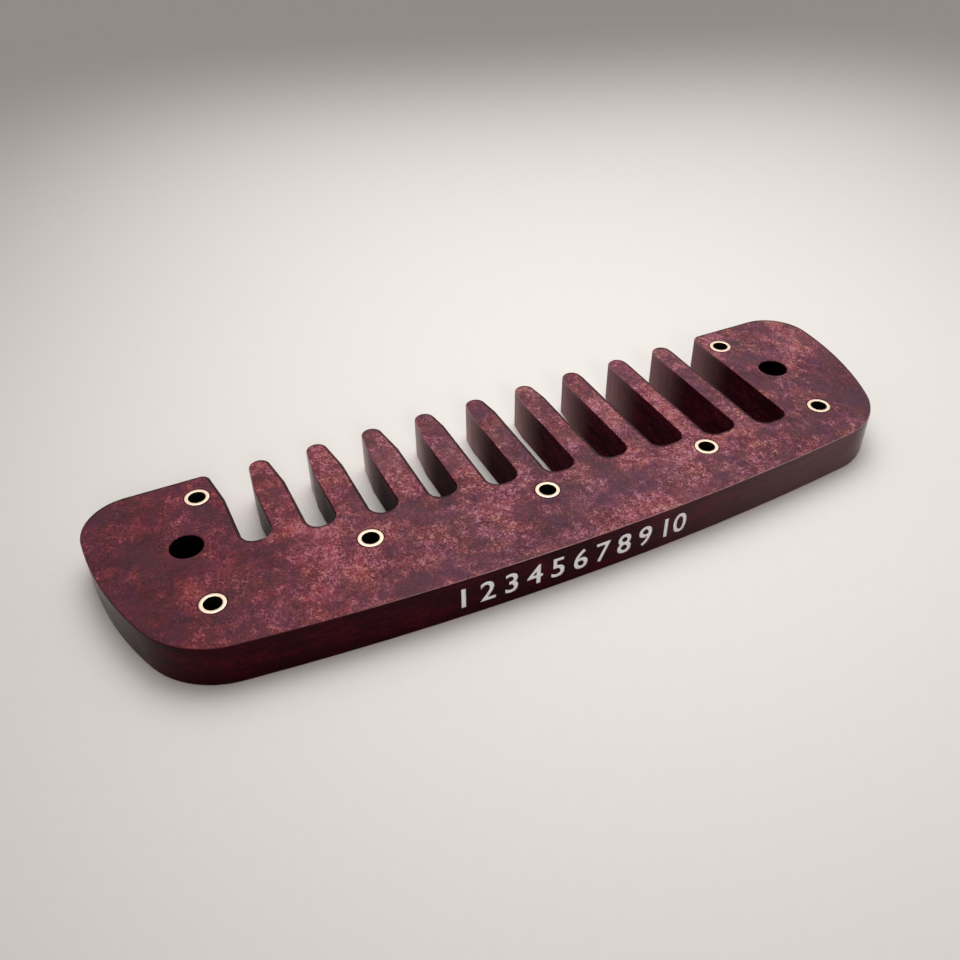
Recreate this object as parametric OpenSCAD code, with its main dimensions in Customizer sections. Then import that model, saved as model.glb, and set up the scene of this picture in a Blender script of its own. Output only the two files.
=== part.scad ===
// Comb of a ten-hole mouth organ: a flat slotted plate with brass bushings set flush in it.
// Millimetres. X runs along the length towards the long chambers, Y towards the mouth side and Z up.
// The origin is under the middle of the plate, on its lower face.

/* [Chambers] */
// Number of chambers, an even number so that a tooth stands in the middle
chamber_count = 10; // [8:2:12]
// Distance from one chamber to the next
chamber_pitch = 7.5; // [7:0.1:8.5]
// How many of the shortest chambers are narrow
narrow_count = 4; // [2:1:5]
// How many chambers after those are of middle width
middle_count = 3; // [1:1:4]
// Width of the narrow chambers
narrow_w = 3.6; // [3:0.1:4]
// Width of the middle chambers
middle_w = 4.1; // [3.5:0.1:4.5]
// Width of the wide chambers
wide_w = 4.6; // [4:0.1:4.8]
// Length of the shortest chamber, from the front edge
first_chamber_len = 14.5; // [12:0.1:16]
// How much longer each chamber is than the one before
chamber_step = 0.97; // [0.7:0.01:1.2]
// Radius in the closed corners of a chamber
chamber_corner_r = 1.6; // [0.8:0.1:1.7]

/* [Mouth side] */
// Width of every chamber where it opens at the front edge
mouth_w = 5.1; // [4.9:0.1:5.6]
// Slope at which a chamber's sides open towards its mouth, in degrees
flare_angle = 7.5; // [5:0.5:10]
// Radius of the end blocks' corners beside the first and last chamber
block_corner_r = 1.1; // [0.5:0.1:2]

/* [Plate] */
// Thickness of the plate between its two reed plate seats
plate_thickness = 5.8; // [4:0.1:8]
// Depth of the plate, from the tooth tips to the middle of the back edge
plate_depth = 31.3; // [29:0.1:36]
// Length of each end block, from the nearest chamber's mouth to the end of the plate
end_block = 16.1; // [14:0.1:22]
// Radius of the two front corners
front_corner_r = 6; // [3:0.5:8]
// Radius of the long curve at each end
end_r = 42; // [36:1:60]
// Radius of the two back corners
back_corner_r = 10.5; // [6:0.5:14]
// Radius of the slightly bowed back edge
back_r = 360; // [250:10:600]

/* [Bushings] */
// Bore of a bushing, a free fit on a 2 mm screw
bush_bore = 2.1; // [1.6:0.1:2.4]
// Wall of a bushing
bush_wall = 0.45; // [0.3:0.05:0.7]
// Gap all round between a bushing and its seat
bush_gap = 0.01; // [0.005:0.005:0.05]
// Plate left between a front bushing and the nearest chamber's mouth
front_bush_web = 0.7; // [0.5:0.1:2]
// Distance of the front bushings from the front edge
front_bush_inset = 3.9; // [3:0.1:5]
// Distance of the back bushings from the front edge
back_bush_inset = 22.2; // [20:0.1:24]
// Distance of the back bushings from the end of the plate
back_bush_end = 11.3; // [9:0.1:12]
// Number of chambers between one middle bushing and the next
row_spacing = 3; // [2:1:3]
// How far the outer two of the middle bushings stand in from their tooth's centre line
row_inset = 0.2; // [0:0.1:0.5]
// Distance of the middle bushing behind the ends of the two chambers beside it
row_setback = 3.1; // [2.5:0.1:5]
// How much further back each middle bushing lies than the one to its left
row_slant = 1.45; // [1:0.05:2]

/* [Cover holes] */
// Diameter of the two holes for the cover bolts
cover_hole_d = 3.9; // [3:0.1:4.5]
// Distance of the cover holes from the front edge
cover_hole_inset = 12; // [10:0.1:14]
// Distance of the cover holes from the end of the plate
cover_hole_end = 10.8; // [9:0.1:12]

/* [Hidden] */
$fn = 96;
// Steps of the long curves, which show their steps more than a small circle does
long_curve_steps = 720;

comb_colour = [0.33, 0.16, 0.17];
brass_colour = [0.86, 0.77, 0.58];

// Chambers, counted from 0 at the short end, that are only half a step longer than the one before
half_steps = [3, 6];
// How far a cut runs past the surface that it opens
overrun = 1;
// How far a rounding disc stands past the sides that it rounds, so that the two cross cleanly
blend = 0.002;

front_y = plate_depth/2;
last_chamber_x = (chamber_count - 1)/2*chamber_pitch;
block_x = last_chamber_x + mouth_w/2;
half_length = block_x + end_block;
tooth_count = chamber_count - 1;
flare_slope = tan(flare_angle);

// Distance from a sharp front corner to the centre of a disc of radius 1 that rounds it, along the front edge
corner_shift = (1 - sin(flare_angle))/cos(flare_angle);
// A tooth's tip is a full round, which touches the front edge and both sides of the tooth
tip_half_w = (chamber_pitch - mouth_w)/2;
tip_r = tip_half_w/corner_shift;

// Centres of the arcs of the outline, on its right half
front_corner_c = [half_length - front_corner_r, front_y - front_corner_r];
end_c = [half_length - end_r, front_y - front_corner_r];
back_c = [0, back_r - plate_depth/2];
back_corner_c = right_crossing(end_c, end_r - back_corner_r, back_c, back_r - back_corner_r);

bush_od = bush_bore + 2*bush_wall;
front_bush = [block_x + front_bush_web + bush_od/2, front_y - front_bush_inset];
back_bush = [half_length - back_bush_end, front_y - back_bush_inset];
middle_end = (chamber_len(chamber_count/2 - 1) + chamber_len(chamber_count/2))/2;
middle_bush = [0, front_y - middle_end - row_setback];
row_step = [row_spacing*chamber_pitch - row_inset, -row_slant];
cover_hole = [half_length - cover_hole_end, front_y - cover_hole_inset];

bush_places = [
    left(front_bush),
    front_bush,
    left(back_bush),
    back_bush,
    middle_bush - row_step,
    middle_bush,
    middle_bush + row_step
];

// The same place on the left half
function left(p) = [-p.x, p.y];

function direction(angle) = [cos(angle), sin(angle)];

function angle_of(v) = atan2(v.y, v.x);

// Of the two points at distance ra from a and rb from b, the one further to the right
function right_crossing(a, ra, b, rb) =
    let (
        gap = norm(b - a),
        along = (ra*ra - rb*rb + gap*gap)/(2*gap),
        across = sqrt(ra*ra - along*along),
        u = (b - a)/gap,
        v = [u.y, -u.x]
    )
    a + along*u + across*v;

function chamber_x(i) = i*chamber_pitch - last_chamber_x;

function chamber_w(i) = i < narrow_count ? narrow_w : i < narrow_count + middle_count ? middle_w : wide_w;

// Number of half steps that come before chamber i
function half_steps_before(i) = len([for (h = half_steps) if (i >= h) h]);

function chamber_len(i) = first_chamber_len + chamber_step*(i - half_steps_before(i)/2);

// What lies outside a rounding disc, between the directions of the two points where it touches its sides
module corner_waste(centre, r, from, to) {
    reach = r + overrun;
    middle = (from + to)/2;
    translate(centre) difference() {
        polygon([
            [0, 0],
            reach*direction(from),
            reach/cos(to - middle)*direction(middle),
            reach*direction(to)
        ]);
        circle(r + blend);
    }
}

// What lies outside the long curve of the right end
module end_waste() {
    half_depth = plate_depth/2 + overrun;
    difference() {
        translate([end_c.x, -half_depth]) square([end_r + overrun, 2*half_depth]);
        translate(end_c) circle(end_r, $fn = long_curve_steps);
    }
}

// The plate's outline before the chambers are cut
module outline() {
    difference() {
        intersection() {
            translate([-half_length, -front_y - overrun]) square([2*half_length, plate_depth + overrun]);
            translate(back_c) circle(back_r, $fn = long_curve_steps);
        }
        for (side = [0, 1]) mirror([side, 0]) {
            end_waste();
            corner_waste(front_corner_c, front_corner_r, 0, 90);
            corner_waste(
                back_corner_c,
                back_corner_r,
                angle_of(back_corner_c - back_c),
                angle_of(back_corner_c - end_c)
            );
        }
    }
}

// One chamber: straight sides with a flare at the mouth, and a closed end with round corners
module chamber(i) {
    half_w = chamber_w(i)/2;
    end_y = front_y - chamber_len(i);
    flare_y = front_y - (mouth_w/2 - half_w)/flare_slope;
    cut_y = front_y + overrun;
    cut_half_w = mouth_w/2 + overrun*flare_slope;
    corner_r = min(chamber_corner_r, half_w);
    corner_c = [half_w - corner_r, end_y + corner_r];
    translate([chamber_x(i), 0]) difference() {
        polygon([
            [-half_w, end_y],
            [half_w, end_y],
            [half_w, flare_y],
            [cut_half_w, cut_y],
            [-cut_half_w, cut_y],
            [-half_w, flare_y]
        ]);
        for (side = [0, 1]) mirror([side, 0])
            corner_waste(corner_c, corner_r, -90, 0);
    }
}

// What is cut from the front of tooth j to leave its round tip
module tip_waste(j) {
    centre_y = front_y - tip_r;
    touch_y = centre_y + tip_r*sin(flare_angle);
    half_w = tip_r + overrun;
    translate([chamber_x(j) + chamber_pitch/2, 0]) difference() {
        translate([-half_w, touch_y]) square([2*half_w, front_y + overrun - touch_y]);
        translate([0, centre_y]) circle(tip_r + blend);
    }
}

module block_corner_waste() {
    centre = [block_x + block_corner_r*corner_shift, front_y - block_corner_r];
    for (side = [0, 1]) mirror([side, 0])
        corner_waste(centre, block_corner_r, 90, 180 - flare_angle);
}

// A round hole right through the plate
module bore(place, d) {
    translate([place.x, place.y, -overrun])
        cylinder(h = plate_thickness + 2*overrun, d = d);
}

module comb() {
    color(comb_colour) difference() {
        linear_extrude(plate_thickness) difference() {
            outline();
            for (i = [0:chamber_count - 1]) chamber(i);
            for (j = [0:tooth_count - 1]) tip_waste(j);
            block_corner_waste();
        }
        for (place = bush_places) bore(place, bush_od + 2*bush_gap);
        for (place = [left(cover_hole), cover_hole]) bore(place, cover_hole_d);
    }
}

module bushing(place) {
    color(brass_colour) difference() {
        translate([place.x, place.y, 0]) cylinder(h = plate_thickness, d = bush_od);
        bore(place, bush_bore);
    }
}

comb();
bushing(bush_places[0]);  // bushing_front_left
bushing(bush_places[1]);  // bushing_front_right
bushing(bush_places[2]);  // bushing_back_left
bushing(bush_places[3]);  // bushing_back_right
bushing(bush_places[4]);  // bushing_middle_left
bushing(bush_places[5]);  // bushing_middle_center
bushing(bush_places[6]);  // bushing_middle_right
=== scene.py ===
import math

import bpy
from mathutils import Matrix, Vector


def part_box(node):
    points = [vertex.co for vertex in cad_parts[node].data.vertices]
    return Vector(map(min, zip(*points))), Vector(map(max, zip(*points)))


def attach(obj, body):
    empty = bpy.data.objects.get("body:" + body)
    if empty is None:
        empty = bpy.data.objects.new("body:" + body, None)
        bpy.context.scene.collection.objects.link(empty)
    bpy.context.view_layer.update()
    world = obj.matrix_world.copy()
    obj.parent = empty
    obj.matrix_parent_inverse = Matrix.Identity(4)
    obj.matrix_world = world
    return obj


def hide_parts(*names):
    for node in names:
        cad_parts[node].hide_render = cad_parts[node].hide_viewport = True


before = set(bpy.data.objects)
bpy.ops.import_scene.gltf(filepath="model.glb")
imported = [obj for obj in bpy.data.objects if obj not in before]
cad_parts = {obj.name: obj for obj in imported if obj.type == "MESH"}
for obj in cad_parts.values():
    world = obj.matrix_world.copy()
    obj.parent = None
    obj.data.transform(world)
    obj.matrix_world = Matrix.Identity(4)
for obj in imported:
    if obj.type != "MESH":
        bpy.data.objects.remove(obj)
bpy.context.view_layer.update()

MM = 0.001

# Sizes of the comb, as in its drawing
PLATE_T = 5.8*MM
BACK_R = 360*MM
BACK_EDGE_Y = -15.65*MM
FRONT_EDGE_Y = 15.65*MM
SEAT_R = 1.51*MM
BUSH_R = 1.5*MM
BUSH_WALL = 0.45*MM
COVER_HOLE_R = 1.95*MM
COVER_HOLE_X = 41.6*MM
COVER_HOLE_Y = 3.65*MM
BUSHINGS = [
    "bushing_front_left",
    "bushing_front_right",
    "bushing_back_left",
    "bushing_back_right",
    "bushing_middle_left",
    "bushing_middle_center",
    "bushing_middle_right",
]
# The chambers lie inside these places
CHAMBERS_X = 37*MM
CHAMBERS_BACK_Y = -9*MM

# Edge breaks: the plate's rims are rounded in steps, with a low crown inside them
EDGE_R = 0.2*MM
EDGE_STEPS = 3
CROWN_W = 0.2*MM
CROWN_H = 0.012*MM
BORDER_W = 0.05*MM
SEAT_BREAK = 0.12*MM
BUSH_BREAK = 0.05*MM
TUBE_SIDES = 72

# How far past its radius the wall of a seat, the edge of a seat and the rim of a cover hole reach
SEAT_WALL_MARGIN = 0.03*MM
SEAT_EDGE_MARGIN = 0.2*MM
COVER_RIM_MARGIN = 0.6*MM
# A seat's closed mouth is one face with more corners than this, and its middle this close to the seat's
MOUTH_CORNERS = 20
MOUTH_OFFSET = 0.2*MM
# How far a face's normal stands up: below the first it is a wall, above the second a crowned rim,
# and above the third a flat face
WALL_BELOW = 0.5
CROWN_FROM = 0.9
FLAT_FROM = 0.9995
# Facets that meet at less than this are parts of one round surface
PLATE_SMOOTH = math.radians(14)
TUBE_SMOOTH = math.radians(30)
# Corners closer than this are one
JOINED = 0.0005*MM
# Heights and radii closer than this are the same
SAME_SIZE = 0.01*MM

# Engraved numbers on the back edge
NUMBERS = "1 2 3 4 5 6 7 8 9 10"
NUMBER_H = 3.1*MM
NUMBER_CENTRE_X = -1*MM
NUMBER_DEPTH = 0.3*MM
FILL_BELOW = 0.1*MM
CUTTER_OVERRUN = 0.3*MM
# Their outlines, as drawn at a height of about 1
NUMBER_GAP = 0.8
NUMBER_WEIGHT = 0.02
NUMBER_STEPS = 4
BLOCK_HALF = 0.5
DOUBLE_POINT = 0.005

# The edges that face this way are painted dark as shade
MOUTH_SIDE = Vector((0.43, 0.90, 0))
# The flat faces are painted a deeper wine between these places, as shade towards the left end
LEFT_SHADE_FROM_X = -5*MM
LEFT_SHADE_TO_X = -48*MM
# The outer edges carry a painted highlight, more and more between these places
HIGHLIGHT_FROM_X = -42*MM
HIGHLIGHT_TO_X = -5*MM
# Painted light greys the walls from this place to the front edge, as light reaching in from the mouth, and
# thins out between the next two
MOUTH_LIGHT_FROM_Y = 5.5*MM
MOUTH_LIGHT_THINS_FROM_X = -5*MM
MOUTH_LIGHT_THINS_TO_X = 36*MM
# A painted reflection of the table greys the outer wall more and more between these places
END_REFLECTION_FROM_X = 0
END_REFLECTION_TO_X = 45*MM
# A painted reflection of the table on the sides of the teeth grows paler towards the short chambers
# between these places
REFLECTION_FROM_X = 14*MM
REFLECTION_TO_X = -22*MM
# The depth at which painted shade in the bores begins, and the depths at which it is darkest
DARK_FROM = 0.01*MM
COVER_HOLE_DARK = 0.2*MM
TUBE_DARK = 0.08*MM

# Camera, found from the photograph
CAMERA_PLACE = Vector((-46.76, -85.41, 81.97))*MM
CAMERA_YAW = math.radians(25.36)
CAMERA_PITCH = math.radians(39.04)
CAMERA_ROLL = math.radians(-0.75)
CAMERA_LENS = 37.02
CAMERA_SENSOR = 36
CAMERA_NEAREST = 1*MM

# The floor lies a hair below the plate, so that the two never share a plane
FLOOR_GAP = 0.02*MM
FLOOR_SIZE = 6

# Lamps: place, the point they look at, power in watts, side in metres and spread in degrees
OVERHEAD_PLACE = (0.05, 0.07, 0.16)
OVERHEAD_AIM = (0.034, 0.022, 0)
OVERHEAD_POWER = 0.099
OVERHEAD_SIDE = 0.21
OVERHEAD_SPREAD = 75
FILL_PLACE = (-0.06, -0.26, 0.15)
FILL_AIM = (-0.015, -0.024, 0)
FILL_POWER = 0.0065
FILL_SIDE = 0.1
FILL_SPREAD = 28
# How bright the room is, as it lights the part and as its shiny surfaces mirror it
ROOM_LIGHT = 0.30
ROOM_MIRRORED = 0.8


# Selecting and editing

def take(obj):
    """Makes obj the only selected and the active object."""
    bpy.ops.object.select_all(action="DESELECT")
    obj.select_set(True)
    bpy.context.view_layer.objects.active = obj


def edit(kind):
    """Opens the active mesh for editing with nothing selected."""
    bpy.ops.object.mode_set(mode="EDIT")
    bpy.ops.mesh.select_mode(type=kind)
    bpy.ops.mesh.select_all(action="DESELECT")


def leave():
    bpy.ops.object.mode_set(mode="OBJECT")


def pick_faces(obj, wanted):
    """Opens obj for editing with the faces selected that wanted() says."""
    take(obj)
    edit("FACE")
    leave()
    for face in obj.data.polygons:
        face.select = wanted(face)
    bpy.ops.object.mode_set(mode="EDIT")


def pick_edges(obj, wanted):
    """Opens obj for editing with the edges selected that wanted() says, from their two ends."""
    take(obj)
    edit("EDGE")
    leave()
    points = obj.data.vertices
    for edge in obj.data.edges:
        edge.select = wanted(points[edge.vertices[0]].co, points[edge.vertices[1]].co)
    bpy.ops.object.mode_set(mode="EDIT")


def join_corners(obj):
    """Opens obj for editing with everything selected, and joins the corners that coincide."""
    take(obj)
    edit("VERT")
    bpy.ops.mesh.select_all(action="SELECT")
    bpy.ops.mesh.remove_doubles(threshold=JOINED)


def link(obj):
    bpy.context.scene.collection.objects.link(obj)


# Places on the comb

def middle_of(name):
    low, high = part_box(name)
    return (low + high)/2


SEATS = [middle_of(name) for name in BUSHINGS]


def flat_distance(a, b):
    return math.hypot(a.x - b.x, a.y - b.y)


def in_seat(place, margin):
    return any(flat_distance(place, seat) < SEAT_R + margin for seat in SEATS)


def in_cover_hole(place):
    hole = Vector((math.copysign(COVER_HOLE_X, place.x), COVER_HOLE_Y))
    return flat_distance(place, hole) < COVER_HOLE_R + COVER_RIM_MARGIN


def in_chambers(place):
    return abs(place.x) < CHAMBERS_X and place.y > CHAMBERS_BACK_Y


# The comb: the plate of the drawing with its edges broken

def copy_plate():
    plate = bpy.data.objects.new("comb_plate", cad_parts["comb"].data.copy())
    link(plate)
    plate.data.materials.clear()
    join_corners(plate)
    leave()
    return plate


def close_seats(plate):
    """Takes the walls of the bushing seats out and closes their mouths, so that only the other rims
    are broken."""
    def on_seat_wall(face):
        return abs(face.normal.z) < WALL_BELOW and in_seat(face.center, SEAT_WALL_MARGIN)

    pick_faces(plate, on_seat_wall)
    bpy.ops.mesh.delete(type="FACE")
    bpy.ops.mesh.select_all(action="SELECT")
    bpy.ops.mesh.fill_holes(sides=0)
    leave()


def draw_in(width, rise):
    """Draws the border of the selected faces in by width, and raises them."""
    bpy.ops.mesh.inset(thickness=width, depth=rise, use_boundary=True, use_even_offset=True)


def round_rims(plate, side):
    """Rounds the rims of the upper (side 1) or lower (side -1) face: the face is sunk by the radius and
    the crown's height, then drawn in and raised again step by step, and once more for the crown. A narrow
    level border keeps the shading of the flat face clean."""
    pick_faces(plate, lambda face: face.normal.z*side > FLAT_FROM)
    bpy.ops.transform.translate(value=(0, 0, -(EDGE_R + CROWN_H)*side))
    for step in range(EDGE_STEPS):
        start = math.pi/2*step/EDGE_STEPS
        end = math.pi/2*(step + 1)/EDGE_STEPS
        draw_in(EDGE_R*(math.cos(start) - math.cos(end)), EDGE_R*(math.sin(end) - math.sin(start)))
    draw_in(CROWN_W, CROWN_H)
    draw_in(BORDER_W, 0)
    leave()


def open_seats(plate):
    """Gives each seat's mouth a fine edge break and bores it through again."""
    widened = (SEAT_R + SEAT_BREAK)/SEAT_R
    for seat in SEATS:
        def on_mouth(face):
            return len(face.vertices) > MOUTH_CORNERS and flat_distance(face.center, seat) < MOUTH_OFFSET

        pick_faces(plate, on_mouth)
        bpy.ops.transform.resize(value=(widened, widened, 1), center_override=seat)
        bpy.ops.mesh.inset(
            thickness=SEAT_BREAK,
            depth=-SEAT_BREAK,
            use_individual=True,
            use_even_offset=True,
        )
        bpy.ops.mesh.bridge_edge_loops()
        leave()


def drop_double_points(outline):
    """Takes out the points of an outline that all but coincide with the next, as they cross when the
    outline is widened."""
    for spline in outline.data.splines:
        points = list(spline.bezier_points)
        for point, after in zip(points, points[1:] + points[:1]):
            double = (after.co - point.co).length < DOUBLE_POINT
            point.select_control_point = double
            point.select_left_handle = double
            point.select_right_handle = double
    bpy.ops.object.mode_set(mode="EDIT")
    bpy.ops.curve.delete(type="VERT")
    leave()


def block_numbers(name):
    """The row of numbers as blocks that are 1 deep and about 1 high."""
    bpy.ops.object.select_all(action="DESELECT")
    bpy.ops.object.text_add()
    row = bpy.context.active_object
    row.name = name
    row.data.body = NUMBERS
    row.data.align_x = "CENTER"
    row.data.size = 1
    row.data.space_word = NUMBER_GAP
    row.data.resolution_u = NUMBER_STEPS
    bpy.ops.object.convert(target="CURVE")
    row = bpy.context.active_object
    drop_double_points(row)
    row.data.offset = NUMBER_WEIGHT
    row.data.extrude = BLOCK_HALF
    bpy.ops.object.convert(target="MESH")
    return row


def engraved_row(name, top, bottom):
    """The row of numbers wrapped round the back edge, from top to bottom below its surface."""
    row = block_numbers(name)
    points = [vertex.co for vertex in row.data.vertices]
    low = min(point.y for point in points)
    tall = max(point.y for point in points) - low
    middle = (min(point.x for point in points) + max(point.x for point in points))/2
    scale = NUMBER_H/tall
    for vertex in row.data.vertices:
        x = (vertex.co.x - middle)*scale + NUMBER_CENTRE_X
        z = (vertex.co.y - low - tall/2)*scale + PLATE_T/2
        below = bottom + (top - bottom)*(vertex.co.z + BLOCK_HALF)
        angle = x/BACK_R
        reach = BACK_R - below
        vertex.co = (reach*math.sin(angle), BACK_EDGE_Y + BACK_R - reach*math.cos(angle), z)
    join_corners(row)
    bpy.ops.mesh.normals_make_consistent(inside=False)
    leave()
    return row


def engrave_numbers(plate):
    """Cuts the numbers into the back edge and returns the paint that fills them."""
    cutter = engraved_row("number_cutter", -CUTTER_OVERRUN, NUMBER_DEPTH)
    cut = plate.modifiers.new("numbers", "BOOLEAN")
    cut.operation = "DIFFERENCE"
    cut.solver = "MANIFOLD"
    cut.object = cutter
    take(plate)
    bpy.ops.object.modifier_apply(modifier=cut.name)
    bpy.data.objects.remove(cutter)
    return engraved_row("number_fill", FILL_BELOW, NUMBER_DEPTH)


def smooth(obj, angle):
    """Smooths what is round and leaves the edges that turn by more than angle crisp."""
    take(obj)
    bpy.ops.object.shade_smooth_by_angle(angle=angle)


# The bushings: one turned tube, copied to its seven seats

def on_rim(a, b):
    """Whether the edge from a to b runs round an end of the tube, and not along or across it."""
    level = abs(a.z - b.z) < SAME_SIZE
    around = abs(math.hypot(a.x, a.y) - math.hypot(b.x, b.y)) < SAME_SIZE
    return level and around


def turn_tube():
    bpy.ops.object.select_all(action="DESELECT")
    bpy.ops.mesh.primitive_cylinder_add(
        vertices=TUBE_SIDES,
        radius=BUSH_R,
        depth=PLATE_T,
        location=(0, 0, PLATE_T/2),
    )
    tube = bpy.context.active_object
    bpy.ops.object.transform_apply(location=True)
    pick_faces(tube, lambda face: abs(face.normal.z) > FLAT_FROM)
    bpy.ops.mesh.inset(thickness=BUSH_WALL, use_individual=True, use_even_offset=True)
    bpy.ops.mesh.bridge_edge_loops()
    leave()
    pick_edges(tube, on_rim)
    bpy.ops.mesh.bevel(offset=BUSH_BREAK, segments=2, affect="EDGES")
    leave()
    smooth(tube, TUBE_SMOOTH)
    return tube


def place_tube(tube, name):
    copy = bpy.data.objects.new(name.replace("bushing", "brass_tube"), tube.data.copy())
    link(copy)
    middle = middle_of(name)
    copy.location = (middle.x, middle.y, 0)
    take(copy)
    bpy.ops.object.transform_apply(location=True)
    return copy


# Nodes of the materials

def node(tree, kind, inputs=None, **settings):
    """Adds a node with its settings, and gives its inputs a value or a link."""
    made = tree.nodes.new(kind)
    for name, value in settings.items():
        setattr(made, name, value)
    for name, value in (inputs or {}).items():
        socket = made.inputs[name]
        if isinstance(value, bpy.types.NodeSocket):
            tree.links.new(value, socket)
        else:
            socket.default_value = value
    return made


def colour(r, g, b):
    return (r, g, b, 1)


def noise(tree, where, size, detail=2.0, roughness=0.5):
    """Noise whose main grain is size metres."""
    inputs = {"Vector": where, "Scale": 1/size, "Detail": detail, "Roughness": roughness}
    return node(tree, "ShaderNodeTexNoise", inputs).outputs["Fac"]


def ramp(tree, value, low, high, to_low=0.0, to_high=1.0):
    """value from low to high, drawn out smoothly to the range to_low to to_high."""
    inputs = {
        "Value": value,
        "From Min": low,
        "From Max": high,
        "To Min": to_low,
        "To Max": to_high,
    }
    return node(tree, "ShaderNodeMapRange", inputs, interpolation_type="SMOOTHSTEP").outputs["Result"]


def math_node(tree, operation, a, b=0.0):
    return node(tree, "ShaderNodeMath", {0: a, 1: b}, operation=operation).outputs[0]


def blend_colour(tree, share, under, over, way="MIX"):
    """share of the colour over laid on the colour under. A mix node has its colours at these sockets."""
    inputs = {0: share, 6: under, 7: over}
    return node(tree, "ShaderNodeMix", inputs, data_type="RGBA", blend_type=way).outputs[2]


def colour_ramp(tree, value, stops):
    """value from 0 to 1 as a colour, between (position, colour) stops."""
    made = node(tree, "ShaderNodeValToRGB", {"Fac": value})
    scale = made.color_ramp
    while len(scale.elements) < len(stops):
        scale.elements.new(0.5)
    for element, (position, tone) in zip(scale.elements, stops):
        element.position = position
        element.color = tone
    return made.outputs["Color"]


def stretched(tree, where, scale, shift=(0, 0, 0)):
    """The place where, stretched along its axes and then moved by shift in millimetres."""
    inputs = {"Vector": where, "Scale": scale, "Location": Vector(shift)*MM}
    return node(tree, "ShaderNodeMapping", inputs).outputs["Vector"]


def part_of(tree, where, axis):
    return node(tree, "ShaderNodeSeparateXYZ", {"Vector": where}).outputs[axis]


def mark_of(tree, name):
    """What the plate's own attribute of this name says of a face."""
    return node(tree, "ShaderNodeAttribute", attribute_name=name).outputs["Fac"]


def bumped(tree, height, distance, strength):
    inputs = {"Height": height, "Distance": distance, "Strength": strength}
    return node(tree, "ShaderNodeBump", inputs).outputs["Normal"]


def new_group(name, inputs, outputs):
    """An empty shader node group, with (name, type) pairs for its sockets."""
    group = bpy.data.node_groups.new(name, "ShaderNodeTree")
    for label, kind in inputs:
        group.interface.new_socket(label, in_out="INPUT", socket_type=kind)
    for label, kind in outputs:
        group.interface.new_socket(label, in_out="OUTPUT", socket_type=kind)
    entry = group.nodes.new("NodeGroupInput")
    leaving = group.nodes.new("NodeGroupOutput")
    return group, entry.outputs, leaving.inputs


def use_group(tree, group, **inputs):
    """Places a shared group in a material, with its inputs by name."""
    return node(tree, "ShaderNodeGroup", inputs, node_tree=group).outputs


def new_material(name):
    """A material without a surface, its node tree, and the place on the piece in metres."""
    material = bpy.data.materials.new(name)
    material.use_nodes = True
    tree = material.node_tree
    tree.nodes.clear()
    return material, tree, node(tree, "ShaderNodeTexCoord").outputs["Object"]


def surface(tree, inputs):
    shader = node(tree, "ShaderNodeBsdfPrincipled", inputs)
    node(tree, "ShaderNodeOutputMaterial", {"Surface": shader.outputs[0]})


# Effects that several materials share

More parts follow.
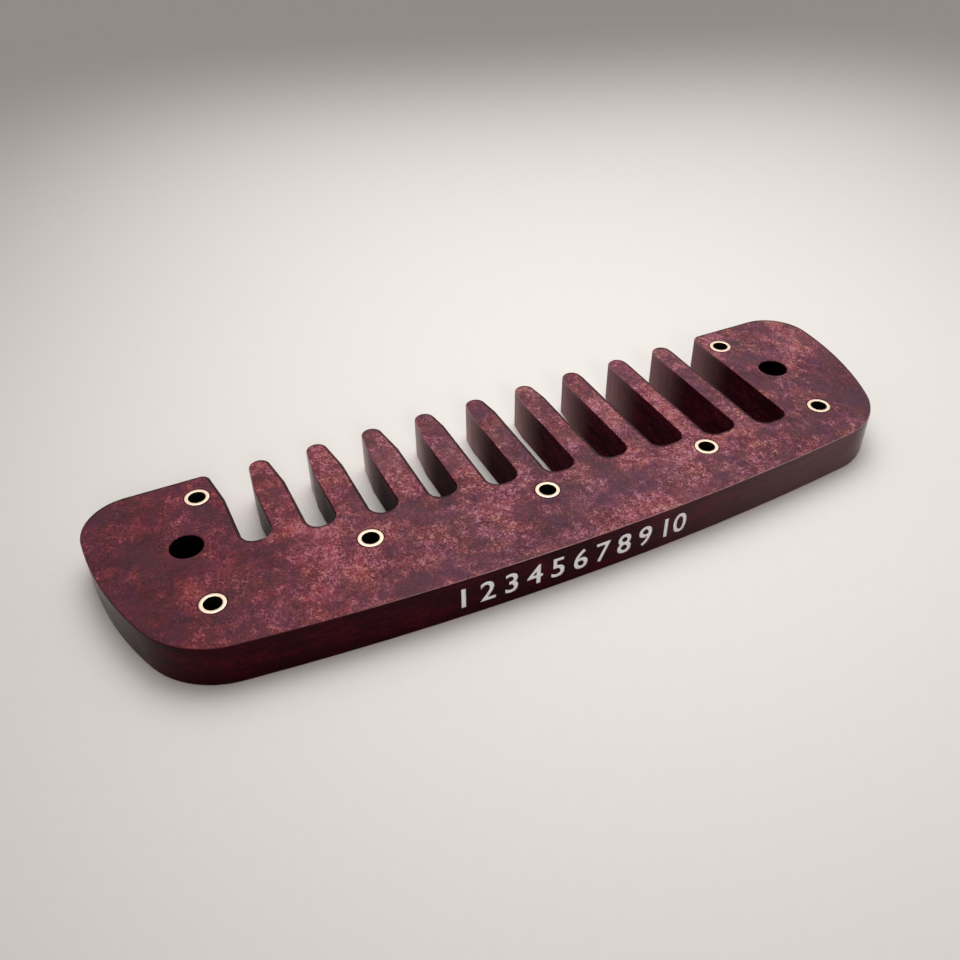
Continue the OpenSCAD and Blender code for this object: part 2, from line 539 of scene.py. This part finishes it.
def resin_mottle():
    """Plum and wine resin pressed in thin layers. Pale rose flecks crowd together in clouds, with calm
    violet patches between them, and the whole leans to orange here and to violet there."""
    group, given, out = new_group(
        "resin_mottle",
        [("Place", "NodeSocketVector"), ("Contrast", "NodeSocketFloat")],
        [("Color", "NodeSocketColor"), ("Grain", "NodeSocketFloat")],
    )
    place = given["Place"]
    layered = stretched(group, place, (1, 0.85, 3), (-47, 186, 212))
    cloud = noise(group, layered, 22*MM, detail=5, roughness=0.95)
    swing = math_node(group, "MULTIPLY", math_node(group, "SUBTRACT", cloud, 0.5), given["Contrast"])
    tone = math_node(group, "ADD", swing, 0.5)
    clouded = colour_ramp(
        group,
        tone,
        [
            (0.05, colour(0.072, 0.029, 0.044)),
            (0.33, colour(0.114, 0.033, 0.050)),
            (0.5, colour(0.141, 0.035, 0.052)),
            (0.67, colour(0.180, 0.041, 0.058)),
            (0.88, colour(0.252, 0.053, 0.069)),
            (1.0, colour(0.319, 0.079, 0.090)),
        ],
    )
    hue_place = stretched(group, place, (1.1, 0.9, 3), (145, 216, -244))
    hue_noise = noise(group, hue_place, 7*MM, detail=4, roughness=0.6)
    hue_share = ramp(group, hue_noise, 0.36, 0.64)
    hue = blend_colour(group, hue_share, colour(0.97, 1.04, 1.06), colour(1.10, 0.76, 0.84))
    tinted = blend_colour(group, 1.0, clouded, hue, "MULTIPLY")
    # Calm patches, and paler blots where the patches are liveliest
    patch = noise(group, stretched(group, place, (0.9, 0.8, 3)), 4.5*MM, detail=3, roughness=0.6)
    calm = ramp(group, patch, 0.54, 0.38, 0.0, 0.6)
    calmed = blend_colour(group, calm, tinted, colour(0.097, 0.037, 0.055))
    blot = ramp(group, patch, 0.55, 0.72, 0.0, 0.7)
    blotted = blend_colour(group, blot, calmed, colour(0.270, 0.068, 0.079))
    # Flecks, in clumps, and fewer of them in dark clouds and calm patches
    grain = noise(group, layered, 0.27*MM, detail=2, roughness=0.85)
    crowded = math_node(group, "ADD", grain, math_node(group, "MULTIPLY", swing, 0.12))
    clump = ramp(group, noise(group, layered, 0.9*MM, detail=1), 0.25, 0.75, 0.14, 1.0)
    plenty = ramp(group, tone, 0.25, 0.85, 0.2, 1.0)
    lively = ramp(group, patch, 0.38, 0.54, 0.25, 1.0)
    sparse = math_node(group, "MULTIPLY", plenty, lively)
    scatter = math_node(group, "MULTIPLY", ramp(group, crowded, 0.45, 0.88, 0.0, 3.2), clump)
    fleck = math_node(group, "MULTIPLY", scatter, sparse)
    grained = blend_colour(group, fleck, blotted, colour(0.490, 0.228, 0.238))
    # Dark pits between the flecks, and a few bright glints
    pitted = ramp(group, patch, 0.38, 0.54, 0.45, 1.0)
    shade = math_node(group, "MULTIPLY", ramp(group, grain, 0.56, 0.27, 0.0, 0.82), pitted)
    shaded = blend_colour(group, shade, grained, colour(0.042, 0.011, 0.020))
    glint_noise = noise(group, layered, 0.24*MM, detail=1, roughness=0.4)
    glint = math_node(group, "MULTIPLY", ramp(group, glint_noise, 0.65, 0.84), sparse)
    sparkling = blend_colour(group, glint, shaded, colour(0.570, 0.420, 0.410))
    cast_place = stretched(group, place, (1, 0.9, 3), (63, -118, 87))
    warm = ramp(group, noise(group, cast_place, 3*MM, detail=4, roughness=0.7), 0.38, 0.62)
    cast = blend_colour(group, warm, colour(0.95, 0.925, 1.11), colour(0.985, 0.95, 0.83))
    toned = blend_colour(group, 1.0, sparkling, cast, "MULTIPLY")
    group.links.new(toned, out["Color"])
    group.links.new(grain, out["Grain"])
    return group


def bore_depth():
    """How far below the nearer flat face a point lies: 0 at the mouth of a bore, 1 a little way in."""
    group, given, out = new_group(
        "bore_depth",
        [("Place", "NodeSocketVector"), ("Reach", "NodeSocketFloat")],
        [("Depth", "NodeSocketFloat")],
    )
    height = part_of(group, given["Place"], "Z")
    off_middle = math_node(group, "ABSOLUTE", math_node(group, "SUBTRACT", height, PLATE_T/2))
    below = math_node(group, "SUBTRACT", PLATE_T/2, off_middle)
    depth = ramp(group, below, DARK_FROM, given["Reach"])
    group.links.new(depth, out["Depth"])
    return group


def tool_marks():
    """Fine lines that a tool leaves on a wall."""
    group, given, out = new_group(
        "tool_marks",
        [("Place", "NodeSocketVector")],
        [("Marks", "NodeSocketFloat")],
    )
    marks = noise(group, given["Place"], 0.3*MM, detail=3, roughness=0.65)
    group.links.new(marks, out["Marks"])
    return group


def painted_wall_light():
    """Painted light on the walls: a greyish tone, strong towards the mouth side as light reaching into the
    chambers, and a painted reflection of the table, by the Ends input towards the right end and paler by
    the other input towards the short chambers. It varies with the tool's marks."""
    group, given, out = new_group(
        "painted_wall_light",
        [
            ("Place", "NodeSocketVector"),
            ("Marks", "NodeSocketFloat"),
            ("Ends", "NodeSocketFloat"),
            ("Powdered", "NodeSocketFloat"),
        ],
        [("Share", "NodeSocketFloat"), ("Color", "NodeSocketColor")],
    )
    along = part_of(group, given["Place"], "X")
    across = part_of(group, given["Place"], "Y")
    # Painted reflection of the table on the outer wall towards the right end
    towards_end = ramp(group, along, END_REFLECTION_FROM_X, END_REFLECTION_TO_X, 0.0, given["Ends"])
    # Painted light reaching into the chambers from the mouth side
    towards_mouth = ramp(group, across, MOUTH_LIGHT_FROM_Y, FRONT_EDGE_Y, 0.0, 0.9)
    thinner = ramp(group, along, MOUTH_LIGHT_THINS_FROM_X, MOUTH_LIGHT_THINS_TO_X, 1.0, 0.62)
    at_mouth = math_node(group, "MULTIPLY", towards_mouth, thinner)
    lit_share = math_node(group, "MAXIMUM", towards_end, at_mouth)
    by_marks = ramp(group, given["Marks"], 0.3, 0.7, 0.85, 1.12)
    # Painted reflection on the sides of the teeth, paler towards the short chambers
    short_end = ramp(group, along, REFLECTION_FROM_X, REFLECTION_TO_X)
    reflection = math_node(group, "MULTIPLY", given["Powdered"], short_end)
    wall_light = blend_colour(group, reflection, colour(0.43, 0.26, 0.268), colour(0.62, 0.50, 0.48))
    group.links.new(math_node(group, "MULTIPLY", lit_share, by_marks), out["Share"])
    group.links.new(wall_light, out["Color"])
    return group


MOTTLE = resin_mottle()
DEPTH = bore_depth()
MARKS = tool_marks()
WALL_LIGHT = painted_wall_light()


# Materials

def lapped_resin():
    """The two flat faces and their rims: rubbed flat on abrasive paper, satin and a little hazy. The rims
    that look towards the mouth side are painted dark as shade, and the faces a deeper wine towards the
    left end, also painted shade."""
    material, tree, where = new_material("lapped_resin")
    pattern = use_group(tree, MOTTLE, Place=where, Contrast=4.2)
    # Painted shade: the faces turn a deeper wine towards the left end
    left_shade = ramp(tree, part_of(tree, where, "X"), LEFT_SHADE_FROM_X, LEFT_SHADE_TO_X)
    left_shaded = blend_colour(tree, left_shade, pattern["Color"], colour(1.0, 0.62, 0.66), "MULTIPLY")
    # Painted shade: the crowned rims that look towards the mouth side are darkened
    rim_shaded = blend_colour(tree, 1.0, left_shaded, colour(0.20, 0.165, 0.155), "MULTIPLY")
    surface(
        tree,
        {
            "Base Color": blend_colour(tree, mark_of(tree, "rim_shade"), left_shaded, rim_shaded),
            "Roughness": ramp(tree, pattern["Grain"], 0.3, 0.7, 0.5, 0.38),
            "IOR": 1.2,
            "Normal": bumped(tree, pattern["Grain"], 0.01*MM, 0.5),
        },
    )
    return material


def wall_resin(name, stain_and_shade, grain, rough_from, rough_to, ior, end_reflection):
    """A cut wall: far deeper in colour than the faces, partly by its own finish and partly as painted
    shade, with the mottle showing only faintly, the marks of the tool along its grain, and painted light
    and reflection."""
    material, tree, where = new_material(name)
    pattern = use_group(tree, MOTTLE, Place=where, Contrast=3.0)
    marks = use_group(tree, MARKS, Place=stretched(tree, where, grain))["Marks"]
    # The stain is partly the wall's own deeper colour and partly painted shade
    stained_and_shaded = blend_colour(tree, 1.0, pattern["Color"], stain_and_shade, "MULTIPLY")
    # Painted light and reflection on the walls
    wall_light = use_group(
        tree,
        WALL_LIGHT,
        Place=where,
        Marks=marks,
        Ends=end_reflection,
        Powdered=mark_of(tree, "tooth_reflection"),
    )
    surface(
        tree,
        {
            "Base Color": blend_colour(tree, wall_light["Share"], stained_and_shaded, wall_light["Color"]),
            "Roughness": ramp(tree, marks, 0.35, 0.65, rough_from, rough_to),
            "IOR": ior,
            "Normal": bumped(tree, marks, 0.002*MM, 0.4),
        },
    )
    return material


def buffed_resin():
    """The outer wall, polished lengthwise."""
    return wall_resin(
        "buffed_resin",
        stain_and_shade=colour(0.165, 0.010, 0.060),
        grain=(0.06, 0.06, 1),
        rough_from=0.14,
        rough_to=0.24,
        ior=1.12,
        # A painted reflection of the table greys the right end of the outer wall
        end_reflection=0.23,
    )


def milled_resin():
    """The walls of the chambers, with the upright marks of the cutter."""
    return wall_resin(
        "milled_resin",
        stain_and_shade=colour(0.28, 0.11, 0.175),
        grain=(1, 1, 0.06),
        rough_from=0.14,
        rough_to=0.22,
        ior=1.025,
        end_reflection=0.0,
    )


def drilled_resin():
    """The walls of the cover holes, painted darker with depth as shade."""
    material, tree, where = new_material("drilled_resin")
    pattern = use_group(tree, MOTTLE, Place=where, Contrast=3.0)
    depth = use_group(tree, DEPTH, Place=where, Reach=COVER_HOLE_DARK)["Depth"]
    # Painted shade: the hole's wall darkens with depth
    stain_and_shade = blend_colour(tree, depth, colour(0.55, 0.40, 0.42), colour(0.02, 0.01, 0.01))
    surface(
        tree,
        {
            "Base Color": blend_colour(tree, 1.0, pattern["Color"], stain_and_shade, "MULTIPLY"),
            "Roughness": ramp(tree, pattern["Grain"], 0.3, 0.7, 0.5, 0.6),
            "IOR": 1.05,
        },
    )
    return material


def painted_edge_highlight():
    """The broken outer edges, painted pale as a highlight except towards the left end."""
    material, tree, where = new_material("painted_edge_highlight")
    patchy = noise(tree, where, 1.2*MM, detail=3, roughness=0.6)
    # Painted highlight, fading out towards the left end
    along = ramp(tree, part_of(tree, where, "X"), HIGHLIGHT_FROM_X, HIGHLIGHT_TO_X)
    highlight_share = math_node(tree, "MULTIPLY", along, ramp(tree, patchy, 0.3, 0.6, 0.5, 1.0))
    surface(
        tree,
        {
            "Base Color": blend_colour(tree, highlight_share, colour(0.07, 0.012, 0.02), colour(0.40, 0.22, 0.23)),
            "Roughness": ramp(tree, patchy, 0.3, 0.7, 0.35, 0.5),
            "IOR": 1.2,
        },
    )
    return material


def tube_brass():
    """Pale brass, rubbed flat with the plate, and painted dark inside the bore as shade."""
    material, tree, where = new_material("tube_brass")
    # Painted shade inside the bore
    bore_shade = use_group(tree, DEPTH, Place=where, Reach=TUBE_DARK)["Depth"]
    rubbed = noise(tree, stretched(tree, where, (1, 0.12, 1)), 0.12*MM, detail=3)
    tone = blend_colour(tree, rubbed, colour(0.63, 0.50, 0.385), colour(0.71, 0.575, 0.465))
    surface(
        tree,
        {
            "Base Color": blend_colour(tree, bore_shade, tone, colour(0.02, 0.016, 0.007)),
            "Metallic": 1.0,
            "Roughness": ramp(tree, rubbed, 0.3, 0.7, 0.42, 0.56),
            "Normal": bumped(tree, rubbed, 0.004*MM, 0.5),
        },
    )
    return material


def number_paint():
    material, tree, where = new_material("number_paint")
    patchy = noise(tree, where, 0.5*MM, detail=3, roughness=0.6)
    surface(
        tree,
        {
            "Base Color": blend_colour(tree, patchy, colour(0.83, 0.82, 0.845), colour(0.88, 0.87, 0.89)),
            "Roughness": ramp(tree, patchy, 0.3, 0.7, 0.5, 0.65),
            "Normal": bumped(tree, patchy, 0.02*MM, 0.5),
        },
    )
    return material


def table_paper():
    material, tree, where = new_material("table_paper")
    fibre = noise(tree, where, 1.5*MM, detail=4, roughness=0.6)
    surface(
        tree,
        {
            "Base Color": blend_colour(tree, fibre, colour(0.88, 0.85, 0.815), colour(0.91, 0.88, 0.845)),
            "Roughness": 0.8,
            "Specular IOR Level": 0.2,
        },
    )
    return material


# Finishes of the plate's faces

LAPPED, BUFFED, MILLED, DRILLED, EDGE_HIGHLIGHT = range(5)


def finish_of(face):
    """The finish of the tool that made a face, or the painted highlight of a broken outer edge."""
    place = face.center
    level = abs(face.normal.z)
    if level > FLAT_FROM:
        return LAPPED
    if in_cover_hole(place):
        return LAPPED if level > WALL_BELOW else DRILLED
    if in_seat(place, SEAT_EDGE_MARGIN):
        return DRILLED
    if level > CROWN_FROM:
        return LAPPED
    if in_chambers(place):
        return MILLED
    if level > WALL_BELOW:
        return EDGE_HIGHLIGHT
    return BUFFED


def fade(value, low, high):
    """0 at low and 1 at high, with a smooth passage between them."""
    share = min(max((value - low)/(high - low), 0), 1)
    return share*share*(3 - 2*share)


def rim_shade_share(face):
    """How far painted shade darkens a face: only the crowned rims, and of those the ones that look
    towards the mouth side."""
    level = abs(face.normal.z)
    if level > FLAT_FROM or level < CROWN_FROM or in_cover_hole(face.center):
        return 0
    outward = Vector((face.normal.x, face.normal.y, 0)).normalized()
    share = fade(outward.dot(MOUTH_SIDE), 0, 0.4)
    if in_chambers(face.center):
        share *= fade(outward.x, -0.4, 0.1)
    return share


def tooth_reflection_share(face):
    """How far a painted reflection of the table pales a face: only the sides of the teeth that look
    towards the short chambers.
    """
    return fade(-face.normal.x, 0.7, 0.95) if in_chambers(face.center) else 0


def paint_plate(plate):
    """Gives each face of the plate its finish, and notes its painted rim shade and painted reflection."""
    finishes = {
        LAPPED: lapped_resin(),
        BUFFED: buffed_resin(),
        MILLED: milled_resin(),
        DRILLED: drilled_resin(),
        EDGE_HIGHLIGHT: painted_edge_highlight(),
    }
    plate.data.materials.clear()
    for finish in sorted(finishes):
        plate.data.materials.append(finishes[finish])
    layers = plate.data.attributes
    layers.new("rim_shade", "FLOAT", "FACE")
    layers.new("tooth_reflection", "FLOAT", "FACE")
    for face in plate.data.polygons:
        face.material_index = finish_of(face)
        layers["rim_shade"].data[face.index].value = rim_shade_share(face)
        layers["tooth_reflection"].data[face.index].value = tooth_reflection_share(face)


# Stage

def lay_floor():
    bpy.ops.object.select_all(action="DESELECT")
    bpy.ops.mesh.primitive_plane_add(size=FLOOR_SIZE, location=(0, 0, -FLOOR_GAP))
    floor = bpy.context.active_object
    floor.name = "table"
    floor.data.materials.append(table_paper())


def hang_lamp(name, place, aim, power, side, spread):
    light = bpy.data.lights.new(name, "AREA")
    light.energy = power
    light.shape = "SQUARE"
    light.size = side
    light.spread = math.radians(spread)
    lamp = bpy.data.objects.new(name, light)
    lamp.location = place
    lamp.rotation_euler = (Vector(aim) - Vector(place)).to_track_quat("-Z", "Y").to_euler()
    lamp.visible_camera = False
    link(lamp)


def light_up():
    hang_lamp("overhead_box", OVERHEAD_PLACE, OVERHEAD_AIM, OVERHEAD_POWER, OVERHEAD_SIDE, OVERHEAD_SPREAD)
    hang_lamp("front_fill", FILL_PLACE, FILL_AIM, FILL_POWER, FILL_SIDE, FILL_SPREAD)
    world = bpy.data.worlds.new("studio")
    world.use_nodes = True
    tree = world.node_tree
    path = node(tree, "ShaderNodeLightPath").outputs
    shiny = math_node(tree, "MAXIMUM", path["Is Glossy Ray"], path["Is Transmission Ray"])
    mirrored = math_node(tree, "MAXIMUM", path["Is Camera Ray"], shiny)
    sky = tree.nodes["Background"]
    sky.inputs["Color"].default_value = colour(1, 0.93, 0.89)
    tree.links.new(ramp(tree, mirrored, 0, 1, ROOM_LIGHT, ROOM_MIRRORED), sky.inputs["Strength"])
    bpy.context.scene.world = world


def set_camera():
    camera = bpy.data.objects.new("camera", bpy.data.cameras.new("camera"))
    camera.data.lens = CAMERA_LENS
    camera.data.sensor_width = CAMERA_SENSOR
    camera.data.clip_start = CAMERA_NEAREST
    camera.location = CAMERA_PLACE
    heading = Matrix.Rotation(-CAMERA_YAW, 3, "Z")
    tilt = Matrix.Rotation(math.pi/2 - CAMERA_PITCH, 3, "X")
    roll = Matrix.Rotation(CAMERA_ROLL, 3, "Z")
    camera.rotation_euler = (heading @ tilt @ roll).to_euler()
    link(camera)
    bpy.context.scene.camera = camera


# The scene

bpy.context.scene.view_settings.view_transform = "Standard"
set_camera()
light_up()
lay_floor()

comb_plate = copy_plate()
close_seats(comb_plate)
round_rims(comb_plate, 1)
round_rims(comb_plate, -1)
open_seats(comb_plate)
number_fill = engrave_numbers(comb_plate)
smooth(comb_plate, PLATE_SMOOTH)
paint_plate(comb_plate)
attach(comb_plate, "root")
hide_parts("comb")

number_fill.data.materials.clear()
number_fill.data.materials.append(number_paint())
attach(number_fill, "root")

pattern_tube = turn_tube()
pattern_tube.data.materials.append(tube_brass())
for name in BUSHINGS:
    tube = place_tube(pattern_tube, name)
    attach(tube, "root")
    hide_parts(name)
bpy.data.objects.remove(pattern_tube)
